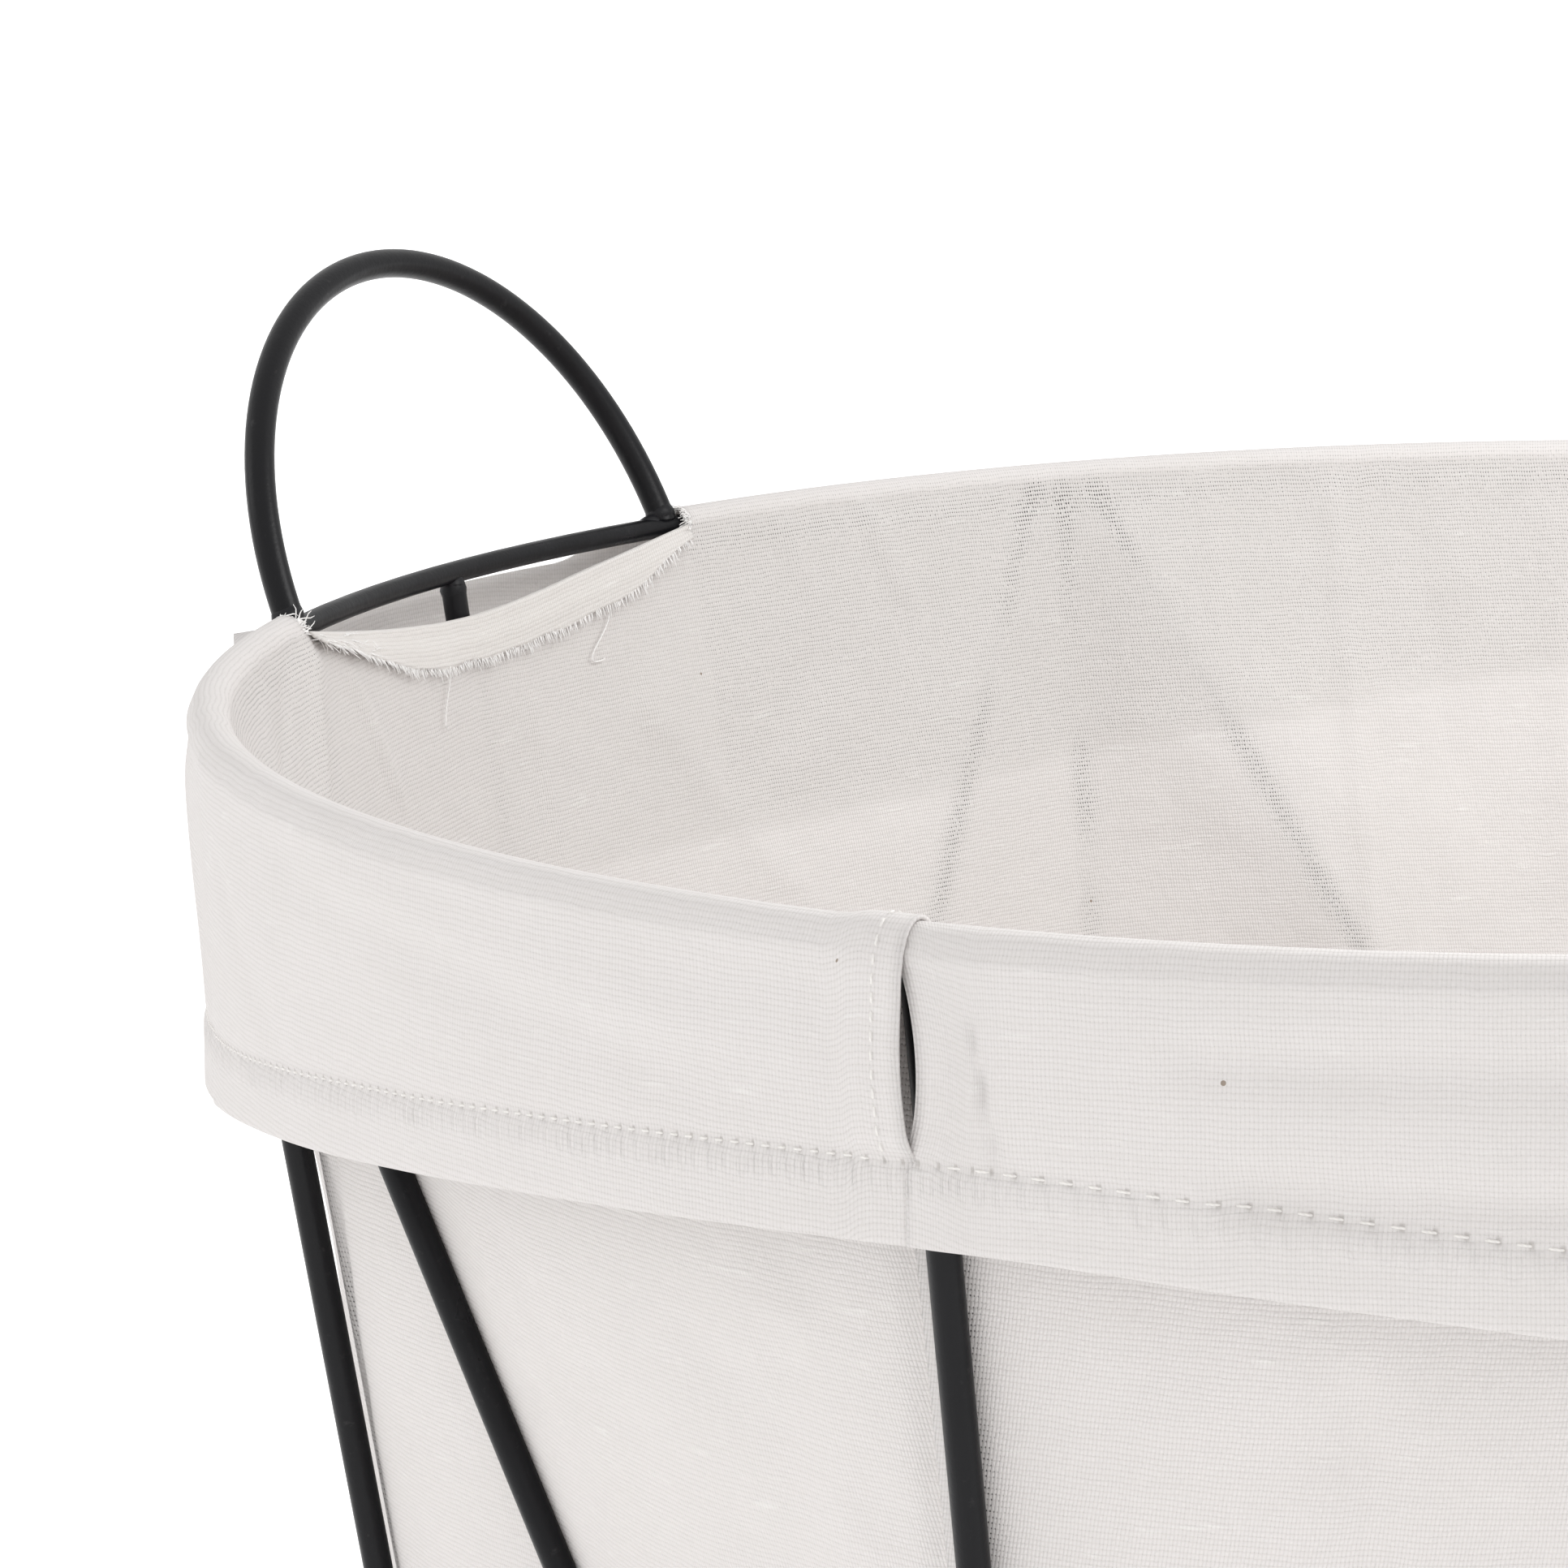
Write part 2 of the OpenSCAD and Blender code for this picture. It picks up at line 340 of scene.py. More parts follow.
class Soup:
    """Collects many small closed shapes into one mesh."""

    def __init__(self):
        self.points, self.faces = [], []

    def skin(self, first, rings, sides, flip=False):
        """Faces over the rings of points from first on, with a cap at each end."""
        way = -1 if flip else 1
        for i in range(rings - 1):
            for k in range(sides):
                a, b = (first + i * sides + c for c in (k, (k + 1) % sides)[::way])
                self.faces.append((a, b, b + sides, a + sides))
        last = first + (rings - 1) * sides
        self.faces.append(tuple(first + k for k in range(sides)[::-way]))
        self.faces.append(tuple(last + k for k in range(sides)[::way]))

    def tube(self, path, radii, sides=6, flat=1.0, up=Vector((0, 0, 1))):
        """Closed tube along a path. flat squeezes it along up."""
        path = [Vector(p) for p in path]
        first = len(self.points)
        for i, p in enumerate(path):
            ahead = (path[min(i + 1, len(path) - 1)] - path[max(i - 1, 0)]).normalized()
            side = ahead.cross(up)
            side = side.normalized() if side.length > 1e-6 else ahead.orthogonal().normalized()
            top = side.cross(ahead).normalized()
            for k in range(sides):
                a = 2 * math.pi * k / sides
                self.points.append(p + (side * math.cos(a) + top * math.sin(a) * flat) * radii[i])
        self.skin(first, len(path), sides)

    def blob(self, centre, axis, radius, length, seed, rings=7, sides=14):
        """Uneven bead round an axis."""
        axis = Vector(axis).normalized()
        steps = [math.pi * (0.04 + 0.92 * i / (rings - 1)) for i in range(rings)]
        side = axis.orthogonal().normalized()
        other = axis.cross(side)
        first = len(self.points)
        for t in steps:
            for k in range(sides):
                a = 2 * math.pi * k / sides
                way = side * math.cos(a) + other * math.sin(a)
                p = way * math.sin(t) * radius + axis * math.cos(t) * length
                p *= 1 + 0.10 * noise.noise(p * 700 + Vector((seed, seed * 0.7, 0)))
                self.points.append(Vector(centre) + p)
        self.skin(first, rings, sides, flip=True)

    def piece(self, name):
        mesh = bpy.data.meshes.new(name)
        mesh.from_pydata([tuple(p) for p in self.points], [], self.faces)
        mesh.polygons.foreach_set("use_smooth", [True] * len(mesh.polygons))
        mesh.update()
        return link(name, mesh)


# ---------------------------------------------------------------- materials


class Nodes:
    """Short forms for building a node tree."""

    def __init__(self, name):
        self.material = bpy.data.materials.new(name)
        self.material.use_nodes = True
        self.tree = self.material.node_tree
        self.tree.nodes.clear()

    def add(self, kind, **settings):
        node = self.tree.nodes.new(kind)
        for key, value in settings.items():
            setattr(node, key, value)
        return node

    def join(self, value, socket):
        if isinstance(value, bpy.types.NodeSocket):
            self.tree.links.new(value, socket)
        elif value is not None:
            socket.default_value = value

    def math(self, operation, a, b=None, c=None, clamp=False):
        node = self.add("ShaderNodeMath", operation=operation, use_clamp=clamp)
        for value, socket in zip((a, b, c), node.inputs):
            self.join(value, socket)
        return node.outputs[0]

    def times(self, a, b, clamp=False):
        return self.math("MULTIPLY", a, b, clamp=clamp)

    def linear(self, value, factor, plus):
        return self.math("MULTIPLY_ADD", value, factor, plus)

    def fill(self, kind, values):
        """New node with values or links for its named sockets."""
        node = self.add(kind)
        for socket, value in values.items():
            self.join(value, node.inputs[socket])
        return node

    def split(self, vector):
        return self.fill("ShaderNodeSeparateXYZ", {0: vector}).outputs

    def noise(self, vector, scale, detail=2.0, roughness=0.5):
        sockets = {"Vector": vector, "Scale": scale, "Detail": detail, "Roughness": roughness}
        return self.fill("ShaderNodeTexNoise", sockets).outputs["Fac"]

    def span(self, value, low, high, to_low=0.0, to_high=1.0):
        node = self.add("ShaderNodeMapRange", interpolation_type="SMOOTHSTEP")
        for v, socket in zip((value, low, high, to_low, to_high), node.inputs):
            self.join(v, socket)
        return node.outputs[0]

    def blend(self, share, a, b):
        """Mix of two colours."""
        node = self.add("ShaderNodeMix", data_type="RGBA")
        for value, socket in ((share, node.inputs[0]), (a, node.inputs[6]), (b, node.inputs[7])):
            self.join((*value, 1.0) if isinstance(value, tuple) else value, socket)
        return node.outputs[2]

    def vector(self, x, y, z=0.0):
        return self.fill("ShaderNodeCombineXYZ", {0: x, 1: y, 2: z}).outputs[0]

    def relief(self, height, distance, strength=1.0, normal=None):
        sockets = {"Height": height, "Distance": distance, "Strength": strength, "Normal": normal}
        return self.fill("ShaderNodeBump", sockets).outputs[0]

    def surface(self, shader):
        out = self.add("ShaderNodeOutputMaterial")
        self.tree.links.new(shader, out.inputs["Surface"])
        return self.material


def powder_coat(name, base=(0.0045, 0.0045, 0.0056), roughness=0.34):
    """Satin black powder coat: orange peel, uneven gloss, a few rubbed and dusty spots."""
    n = Nodes(name)
    place = n.add("ShaderNodeTexCoord").outputs["Object"]
    tone = n.noise(place, 60.0, 3.0)
    dust = n.span(n.noise(place, 420.0, 4.0, 0.7), 0.60, 0.78)
    rubbed = n.span(n.noise(place, 35.0, 5.0, 0.65), 0.60, 0.72)
    dark = n.blend(tone, tuple(c * 0.8 for c in base), tuple(c * 1.35 for c in base))
    worn = n.blend(n.times(rubbed, 0.20), dark, (0.022, 0.022, 0.025))
    colour = n.blend(n.times(dust, 0.05), worn, (0.30, 0.29, 0.28))
    peel = n.noise(place, 1400.0, 2.0)
    lumps = n.noise(place, 260.0, 2.0)
    height = n.linear(lumps, 1.5, peel)
    rough = n.linear(n.noise(place, 90.0, 3.0), 0.22, roughness - 0.11)
    shader = n.fill("ShaderNodeBsdfPrincipled", {
        "Base Color": colour, "Roughness": n.linear(rubbed, -0.08, rough),
        "Normal": n.relief(height, 0.00006, 0.55), "Specular IOR Level": 0.20})
    return n.surface(shader.outputs[0])


def plain_weave(n, thread, in_mm):
    """Places across the threads, how high each thread stands, and its yarn's unevenness."""
    part = n.split(thread)
    drift = n.math("SUBTRACT", n.noise(in_mm, 0.09, 2.0), 0.5)
    sway = n.math("SUBTRACT", n.noise(in_mm, 0.13, 2.0), 0.5)
    u = n.linear(drift, 1.3, n.math("DIVIDE", part[0], WARP_PITCH))
    v = n.linear(sway, 1.1, n.math("DIVIDE", part[1], WEFT_PITCH))
    across_u = n.math("SINE", n.times(u, math.pi))
    across_v = n.math("SINE", n.times(v, math.pi))
    crown_u = n.math("ABSOLUTE", across_u)
    crown_v = n.math("ABSOLUTE", across_v)
    warp_yarn = n.noise(n.vector(u, n.times(v, 0.035)), 0.9, 2.0, 0.6)
    weft_yarn = n.noise(n.vector(n.times(u, 0.03), v, 7.0), 0.9, 2.0, 0.6)
    warp = n.times(n.math("POWER", crown_u, 0.6), n.linear(crown_v, 0.5, 0.5))
    weft = n.times(n.math("POWER", crown_v, 0.6), n.linear(crown_u, 0.5, 0.5))
    warp = n.times(warp, n.linear(warp_yarn, 0.8, 0.6))
    weft = n.times(weft, n.linear(weft_yarn, 1.0, 0.5))
    warp_on_top = n.span(n.times(across_u, across_v), -0.25, 0.25)
    top = n.add("ShaderNodeMix", data_type="FLOAT")
    for value, socket in ((warp_on_top, 0), (weft, 2), (warp, 3)):
        n.join(value, top.inputs[socket])
    yarn_tone = n.linear(n.math("ADD", warp_yarn, weft_yarn), 0.5, 0.0)
    return u, v, crown_u, crown_v, top.outputs[0], yarn_tone


def open_holes(n, u, v, crown_u, crown_v, in_mm, opened):
    """Share of dark between the threads, in patches and where the marks open the weave. The dark
    that the marks open behind the cuff is painted shade between the two layers.
    """
    hole = n.times(n.math("SUBTRACT", 1.0, crown_u), n.math("SUBTRACT", 1.0, crown_v))
    hole = n.span(hole, n.linear(opened, -0.22, 0.34), 0.62)
    patch = n.noise(in_mm, 0.28, 3.0, 0.6)
    single = n.noise(n.vector(u, v, 11.0), 0.9, 0.0)
    gape = n.times(hole, n.span(n.math("ADD", single, n.times(patch, 0.6)), 0.52, 0.92))
    return n.times(gape, n.linear(opened, 1.35, 0.12), clamp=True)


def seed_flecks(n, in_mm, colour):
    """Small brown bits of seed in some cells of the cloth."""
    fleck = n.fill("ShaderNodeTexVoronoi", {"Vector": in_mm, "Scale": 0.085})
    cell = n.split(fleck.outputs["Color"])
    chosen = n.math("GREATER_THAN", cell[0], 0.72)
    size = n.linear(cell[1], 0.020, 0.012)
    spot = n.times(chosen, n.math("LESS_THAN", fleck.outputs["Distance"], size))
    return n.blend(n.times(spot, 0.75), colour, (0.22, 0.15, 0.09))


def hem_marks(n, in_mm, pitch, colour, crumple):
    """Puckers and needle holes of the hem's stitches, and the flatter weave of a pressed cuff."""
    place = n.split(n.add("ShaderNodeUVMap", uv_map="hem").outputs[0])
    wobble = n.linear(n.noise(in_mm, 0.12, 1.0), 1.6, -0.8)
    wave = n.math("SINE", n.math("ADD", n.times(place[0], 2 * math.pi / pitch), wobble))
    low = n.math("ABSOLUTE", n.math("SUBTRACT", place[1], 2.3))
    row = n.span(low, 2.6, 0.6)
    groove = n.span(n.math("ABSOLUTE", place[1]), 1.3, 0.0)
    uneven = n.times(row, n.noise(in_mm, 0.22, 2.0))
    pucker = n.linear(n.times(uneven, wave), 0.34, n.times(groove, -0.26))
    on_line = n.span(n.math("ABSOLUTE", n.math("ADD", place[1], 0.1)), 0.75, 0.2)
    hit = n.times(on_line, n.span(wave, 0.72, 0.95))
    colour = n.blend(n.times(hit, 0.36), colour, (0.28, 0.25, 0.22))
    pressed = n.span(place[1], -49.5, -45.0, 0.55, 0.42)
    return colour, n.relief(pucker, 0.0009, 1.0, crumple), pressed


def canvas(name, base=(0.820, 0.791, 0.786), translucency=0.2, band=False, pitch=None):
    """Plain-weave unbleached cotton, from the cloth's own thread lengths: uneven threads, slubs,
    seed flecks, and holes between the threads that open where the marks say so. Painted shade
    darkens it low between the threads and where the cloth lies doubled. A pitch, in
    millimetres, adds the marks of a hem's stitches."""
    n = Nodes(name)
    thread = n.add("ShaderNodeUVMap", uv_map="cloth").outputs[0]
    marks = n.split(n.add("ShaderNodeUVMap", uv_map="marks").outputs[0])
    length = n.add("ShaderNodeVectorMath", operation="SCALE")
    n.join(thread, length.inputs[0])
    n.join(1 / MM, length.inputs["Scale"])
    in_mm = length.outputs[0]
    u, v, crown_u, crown_v, top, yarn_tone = plain_weave(n, thread, in_mm)
    slub = n.span(n.noise(n.vector(n.times(u, 0.10), v, 3.0), 0.55, 2.0), 0.66, 0.76)
    height = n.linear(slub, 0.5, top)
    dark_hole = open_holes(n, u, v, crown_u, crown_v, in_mm, marks[0])
    tone = n.noise(in_mm, 0.03, 3.0, 0.55)
    pale = tuple(min(1.0, c * 1.035) for c in base)
    dull = tuple(c * 0.95 for c in base[:2]) + (base[2] * 0.93,)
    colour = n.blend(n.linear(tone, 0.5, n.times(yarn_tone, 0.5)), dull, pale)
    colour = n.blend(n.times(slub, 0.5), colour, (0.90, 0.885, 0.865))
    # painted shade: the cloth darkens where it lies low between the raised threads
    between = n.math("SUBTRACT", 1.0, top)
    colour = n.blend(n.times(between, 0.24), colour, (0.50, 0.465, 0.42))
    # painted shade: a little darker where the marks say the cloth lies doubled behind the cuff
    colour = n.blend(n.times(marks[1], 0.10), colour, (0.42, 0.40, 0.37))
    colour = n.blend(dark_hole, colour, (0.05, 0.05, 0.05))
    colour = seed_flecks(n, in_mm, colour)
    crumple = n.relief(n.noise(in_mm, 0.16, 4.0, 0.6), 0.0009, 0.40)
    strength = 0.55
    if pitch:
        colour, crumple, strength = hem_marks(n, in_mm, pitch, colour, crumple)
    weave = n.relief(height, 0.00026 if band else 0.00022, strength, crumple)
    shader = n.fill("ShaderNodeBsdfPrincipled", {
        "Base Color": colour, "Normal": weave, "Roughness": 0.92, "Specular IOR Level": 0.18,
        "Sheen Weight": 0.12, "Sheen Roughness": 0.45})
    through = n.fill("ShaderNodeBsdfTranslucent", {"Color": colour, "Normal": weave})
    both = n.fill("ShaderNodeMixShader", {0: translucency, 1: shader.outputs[0], 2: through.outputs[0]})
    return n.surface(both.outputs[0])


def yarn(name, base=(0.83, 0.805, 0.775)):
    """Cotton sewing thread and frayed ends: twisted plies and a little fluff."""
    n = Nodes(name)
    place = n.add("ShaderNodeTexCoord").outputs["Object"]
    ply = n.add("ShaderNodeTexWave", wave_type="BANDS", bands_direction="DIAGONAL")
    n.join(place, ply.inputs["Vector"])
    ply.inputs["Scale"].default_value = 700.0
    ply.inputs["Distortion"].default_value = 3.0
    tone = n.noise(place, 500.0, 3.0)
    share = n.linear(ply.outputs["Fac"], 0.35, n.times(tone, 0.65))
    colour = n.blend(share, tuple(c * 0.82 for c in base), base)
    shader = n.fill("ShaderNodeBsdfPrincipled", {
        "Base Color": colour, "Normal": n.relief(share, 0.00008, 0.8), "Roughness": 0.85,
        "Sheen Weight": 0.2})
    return n.surface(shader.outputs[0])


BLACK = powder_coat("black_powder_coat")
BEAD = powder_coat("black_weld_bead", base=(0.0095, 0.0095, 0.0110), roughness=0.42)
CANVAS = canvas("unbleached_canvas")
STITCH_PITCH = {"left": 2.4, "right": 3.7}
PANEL_CANVAS = {side: canvas(f"hemmed_canvas_{side}", pitch=pitch) for side, pitch in STITCH_PITCH.items()}
RAW_BAND = canvas("turned_in_canvas", base=(0.79, 0.762, 0.745), translucency=0.12, band=True)
THREAD = yarn("cotton_thread")
# paler than the cloth it frays from: painted light, so the fibres in the band's shade still look bright
FRAY_PAINTED_LIGHT = yarn("frayed_cotton_painted_light", base=(0.93, 0.915, 0.90))


def finish_piece(obj, body, material):
    obj.data.materials.append(material)
    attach(obj, body)
    return obj


# ---------------------------------------------------------------- the frame's wires

LINER_NODES = frame["record"]["behaviour"]["bodies"]["liner"]
for node_name, wire in NODES.items():
    if node_name not in LINER_NODES:
        wire.data.materials.clear()
        wire.data.materials.append(BLACK)


def weld_pieces():
    """Beads where the wires meet: under the rim, on the base and at the handles' feet."""
    at_rim, at_base, at_feet = Soup(), Soup(), Soup()
    for i, ((top, bottom), _) in enumerate(LINES):
        way = Vector(top - bottom).normalized()
        at_rim.blob(Vector(top) - way * 1.2 * MM, way, WIRE / 2 + 0.22 * MM, 3.4 * MM, i * 1.7)
        at_base.blob(Vector(bottom) - way * 0.6 * MM, way, WIRE / 2 + 0.55 * MM, 3.8 * MM, i * 2.3)
    for i, (x, y) in enumerate(((1, 0), (-1, 0), (0, 1), (0, -1))):
        way = Vector((x, y, 0))
        centre = Vector((0, 0, BASE_Z + 0.6 * MM))
        at_base.blob(way * (BASE_R - WIRE / 2) + centre, way, WIRE / 2 + 0.1 * MM, 3 * MM, i)
        if y:
            at_base.blob(way * WIRE / 2 + centre, way, WIRE / 2 + 0.1 * MM, 3 * MM, 5 + i)
    foot_x = math.sqrt(RIM_R ** 2 - FOOT_Y ** 2)
    for i, (sx, sy) in enumerate(((-1, -1), (-1, 1), (1, -1), (1, 1))):
        foot = Vector((sx * foot_x, sy * FOOT_Y, RIM_Z))
        along_rim = Vector((-foot.y, foot.x, 0)).normalized()
        tilt = math.radians(HANDLE_LEAN)
        lean = Vector((sx * math.sin(tilt), 0, math.cos(tilt)))
        at_feet.blob(foot + lean * 2.6 * MM, lean, HANDLE_WIRE / 2 + 0.35 * MM, 2.6 * MM, 9 + i)
        middle = foot + lean * 1.1 * MM + along_rim * sx * -sy * 2.6 * MM
        at_feet.blob(middle, along_rim, 1.75 * MM, 3.2 * MM, 4 + i)
    for place, soup in (("rim", at_rim), ("base", at_base), ("handle", at_feet)):
        finish_piece(soup.piece(f"{place}_weld_beads"), "frame", BEAD)


weld_pieces()

# ---------------------------------------------------------------- the liner's panels

WALL_ROWS = 118
FOLD_STEPS = 11
CUFF_ROWS = 26
HEM_ROWS = 6
TURN_STEPS = 4
EDGE_TURN = 0.35 * MM                    # radius of the folded edges
LAP = 6.0 * MM
LAP_BACK = 5.6 * MM                      # how much of the lap is drawn back on the cuff
OVERHANG = 0.6 * MM                      # how far the left panel runs past the seam's middle
OVER, UNDER = 0.75 * MM, 0.25 * MM       # how far a lapped edge stands proud or is tucked in
GAP_TOP, GAP_BOTTOM = 0.6 * MM, 25.4 * MM
GAP_LEFT, GAP_RIGHT = 0.6 * MM, 2.1 * MM   # most that each edge draws back where they part
HEM_PAD = 0.35 * MM                      # the turned-in layer pushes the hem out
PUCKER = 0.30 * MM                       # the stitches pull the cloth in
STEP = 0.5                               # degrees between columns


def panel_columns(start, end, slit):
    """Angles of a panel's columns, with one exactly at each end of its slit."""
    stops = [start, slit - SLIT_ANGLE, slit + SLIT_ANGLE, end]
    parts = [np.linspace(a, b, int(round((b - a) / STEP)) + 1)[:-1] for a, b in zip(stops, stops[1:])]
    return np.concatenate(parts + [[end]])


def seam_gap(depth):
    """Share of the full gap between the two edges of the side seam on the cuff."""
    f = np.clip((depth - GAP_TOP) / (GAP_BOTTOM - GAP_TOP), 0, 1)
    return np.sin(np.clip(f ** 1.15, 0, 1) * math.pi) ** 0.8


def profile_rows(theta):
    """Kind of each row of a panel with its height, depth or angle in every column, and which
    columns are in the slit."""
    in_slit = np.abs(from_handle(theta)) < SLIT_ANGLE - 1e-6
    top_drop = np.where(in_slit, slit_edge_drop(theta), 0.0)
    cuff_start = np.where(in_slit, lip_drop(theta), 0.0)
    depth = cuff_depth(theta)
    rows = []
    low = FLOOR_Z + 0.5 * MM
    for i in range(WALL_ROWS + 1):
        f = i / WALL_ROWS
        f = f + 0.12 * math.sin(math.pi * f)
        rows.append(("wall", low + (RIM_Z - top_drop - low) * f))
    for i in range(1, FOLD_STEPS):
        rows.append(("fold", np.full(len(theta), math.pi * (1 - i / FOLD_STEPS))))
    stitch = depth - HEM_HEIGHT
    for i in range(CUFF_ROWS + 1):
        rows.append(("cuff", cuff_start + (stitch - cuff_start) * i / CUFF_ROWS))
    for i in range(1, HEM_ROWS + 1):
        rows.append(("hem", stitch + (HEM_HEIGHT - EDGE_TURN) * i / HEM_ROWS))
    for i in range(1, TURN_STEPS):
        rows.append(("turn", np.full(len(theta), math.pi * i / TURN_STEPS)))
    for i in range(HEM_ROWS + 1):
        rows.append(("inner", stitch + (HEM_HEIGHT - EDGE_TURN) * (1 - i / HEM_ROWS)))
    return rows, in_slit


STITCH_ROW = WALL_ROWS + FOLD_STEPS + CUFF_ROWS


class Panel:
    """Columns of one half of the liner, and the shape of each row of its cloth. A row gives its
    radius, its height, how far its ends draw back, how open the weave is, and the painted shade
    where the cloth lies doubled behind the cuff."""

    def __init__(self, side):
        self.side = side
        self.slit = 180.0 if side < 0 else 0.0
        # the left panel lies on top at both seams, and the right one runs on under it
        past = math.degrees((OVERHANG if side < 0 else LAP) / RIM_R)
        start, end = self.slit - 90 - past, self.slit + 90 + past
        theta = panel_columns(start, end, self.slit)
        edge = np.radians(np.minimum(theta - start, end - theta)) * RIM_R / MM
        over = OVER * (1 - smooth((edge - 6.0) / 5.0))
        tuck = smooth((5.5 - edge) / 5.5) if side < 0 else 1 - smooth((edge - 0.2) / 4.5)
        self.theta, self.edge = theta, edge
        self.inwards = np.where(theta - start < end - theta, 1, -1)
        self.over = over if side < 0 else np.zeros(len(theta))
        self.under = UNDER * tuck
        self.nothing = np.zeros(len(theta))

    def wall(self, z, in_slit):
        theta = self.theta
        level = np.ptp(z) < 1e-9
        radius = wall_radius(theta, float(z[0])) if level else wall_radius_each(theta, z)
        depth = RIM_Z - z
        near = wire_distance(theta, float(np.median(z)))
        patchy = waves(theta, float(np.median(depth)), 16.0, 55.0)
        patchy = np.clip(0.78 + 0.75 * patchy, 0.12, 1.0)
        opened = 0.95 * patchy * bump(near, 2.5 * MM) * smooth((0.150 - depth) / 0.05)
        opened = opened + 0.60 * bump(depth - 3.5 * MM, 3.5 * MM)
        behind_cuff = cuff_depth(theta) - depth
        # behind the cuff the weave is opened too, for dark dots that are painted shade between the two
        # layers
        opened = np.maximum(opened, 0.34 * smooth(behind_cuff / (6 * MM)))
        # second mark: painted shade, darker where the cuff hangs over the wall and doubles the cloth
        marks = np.stack([np.where(in_slit, opened * 0.4, opened), smooth(behind_cuff / (1.2 * MM))], 1)
        return radius - self.over, z, self.nothing, marks

    def fold(self, angle):
        ring = FOLD_R + self.over
        pull = self.nothing
        if self.side > 0:
            pull = LAP_BACK * smooth(1 - angle / math.pi) * (1 - smooth(self.edge / 20))
        marks = np.stack([0.25 * bump(angle / math.pi - 1, 0.3), self.nothing], 1)
        return RIM_R + ring * np.cos(angle), RIM_Z + ring * np.sin(angle), pull, marks

    def cuff(self, kind, value):
        """A row of the cuff, of its hem, of the turn at the bottom or of the layer inside it."""
        full = cuff_depth(self.theta)
        depth, inward = value, 0.0
        if kind == "turn":
            depth = full - EDGE_TURN + EDGE_TURN * np.sin(value)
            inward = EDGE_TURN * (1 - np.cos(value))
        elif kind == "inner":
            inward = 2 * EDGE_TURN
        stitch = full - HEM_HEIGHT
        gap = seam_gap(depth)
        pad = HEM_PAD * smooth((depth - stitch) / (1.5 * MM)) if kind != "cuff" else 0.0
        pucker = -PUCKER * bump(depth - stitch, 1.3 * MM)
        flush = smooth((depth - stitch + 4.0 * MM) / (5.0 * MM))
        proud = 1 + 0.7 * smooth(depth / (3 * MM))
        lift = self.over * (1 - flush) * proud - self.under * flush
        dip = 0.6 * MM * bump(self.edge - 7.0, 5.0) * gap if self.side > 0 else 0.0
        radius = cuff_radius(self.theta, np.minimum(depth, full)) + lift + pad + pucker - dip
        radius = radius - inward + (0.10 * MM if kind == "inner" else 0.0)
        if self.side < 0:
            pull = GAP_LEFT * gap * (1 - smooth(self.edge / 12))
        else:
            pull = (LAP_BACK + GAP_RIGHT * gap) * (1 - smooth(self.edge / 20))
        return radius, RIM_Z - depth, pull, np.zeros((len(depth), 2))


def build_panel(side_name):
    """One half of the liner: wall, fold over the rim, cuff and turned hem in one sheet."""
    panel = Panel(SIDES[side_name])
    theta = panel.theta
    rows, in_slit = profile_rows(theta)
    points = np.zeros((len(rows), len(theta), 3))
    lengths, marks, hem = (np.zeros((len(rows), len(theta), 2)) for _ in range(3))
    travelled = np.zeros(len(theta))
    across = np.radians(theta - panel.slit)
    for i, (kind, value) in enumerate(rows):
        if kind == "wall":
            radius, z, pull, marks[i] = panel.wall(value, in_slit)
        elif kind == "fold":
            radius, z, pull, marks[i] = panel.fold(value)
        else:
            radius, z, pull, marks[i] = panel.cuff(kind, value)
        points[i] = polar(radius, theta + np.degrees(pull / RIM_R) * panel.inwards, z)
        if i:
            travelled = travelled + np.linalg.norm(points[i] - points[i - 1], axis=1)
        taper = (RIM_R - BASE_R) * np.clip((RIM_Z - z) / (RIM_Z - BASE_Z), 0, 1) * (kind == "wall")
        lengths[i] = np.stack([across * (RIM_R - taper), travelled], 1)
        below_stitch = (RIM_Z - z - cuff_depth(theta) + HEM_HEIGHT) / MM
        hem[i, :, 0] = across * (RIM_R + FOLD_R) / MM
        hem[i, :, 1] = {"wall": -50.0, "fold": -44.0}.get(kind, below_stitch)
    keep = np.ones((len(rows) - 1, len(theta) - 1), bool)
    between = np.abs(turn_between((theta[1:] + theta[:-1]) / 2, panel.slit)) < SLIT_ANGLE
    keep[WALL_ROWS:WALL_ROWS + FOLD_STEPS, between] = False
    obj = grid_piece(f"liner_panel_{side_name}", points, lengths, marks, keep, hem=hem)
    thicken(obj, CLOTH)
    return obj, points, theta


def wall_radius_each(theta, z):
    """wall_radius for columns that each have their own height."""
    levels = np.linspace(z.min(), z.max(), 7)
    sheets = np.array([wall_radius(theta, float(level)) for level in levels])
    place = (z - levels[0]) / (levels[-1] - levels[0]) * 6
    low = np.clip(place.astype(int), 0, 5)
    f = place - low
    column = np.arange(len(theta))
    return sheets[low, column] * (1 - f) + sheets[low + 1, column] * f


panels, panel_points, panel_angles = {}, {}, {}
for side_name in SIDES:
    panels[side_name], panel_points[side_name], panel_angles[side_name] = build_panel(side_name)
    finish_piece(panels[side_name], "liner", PANEL_CANVAS[side_name])
    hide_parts(f"liner_wall_{side_name}", f"cuff_{side_name}", f"hem_{side_name}")

# ---------------------------------------------------------------- the liner's bottom


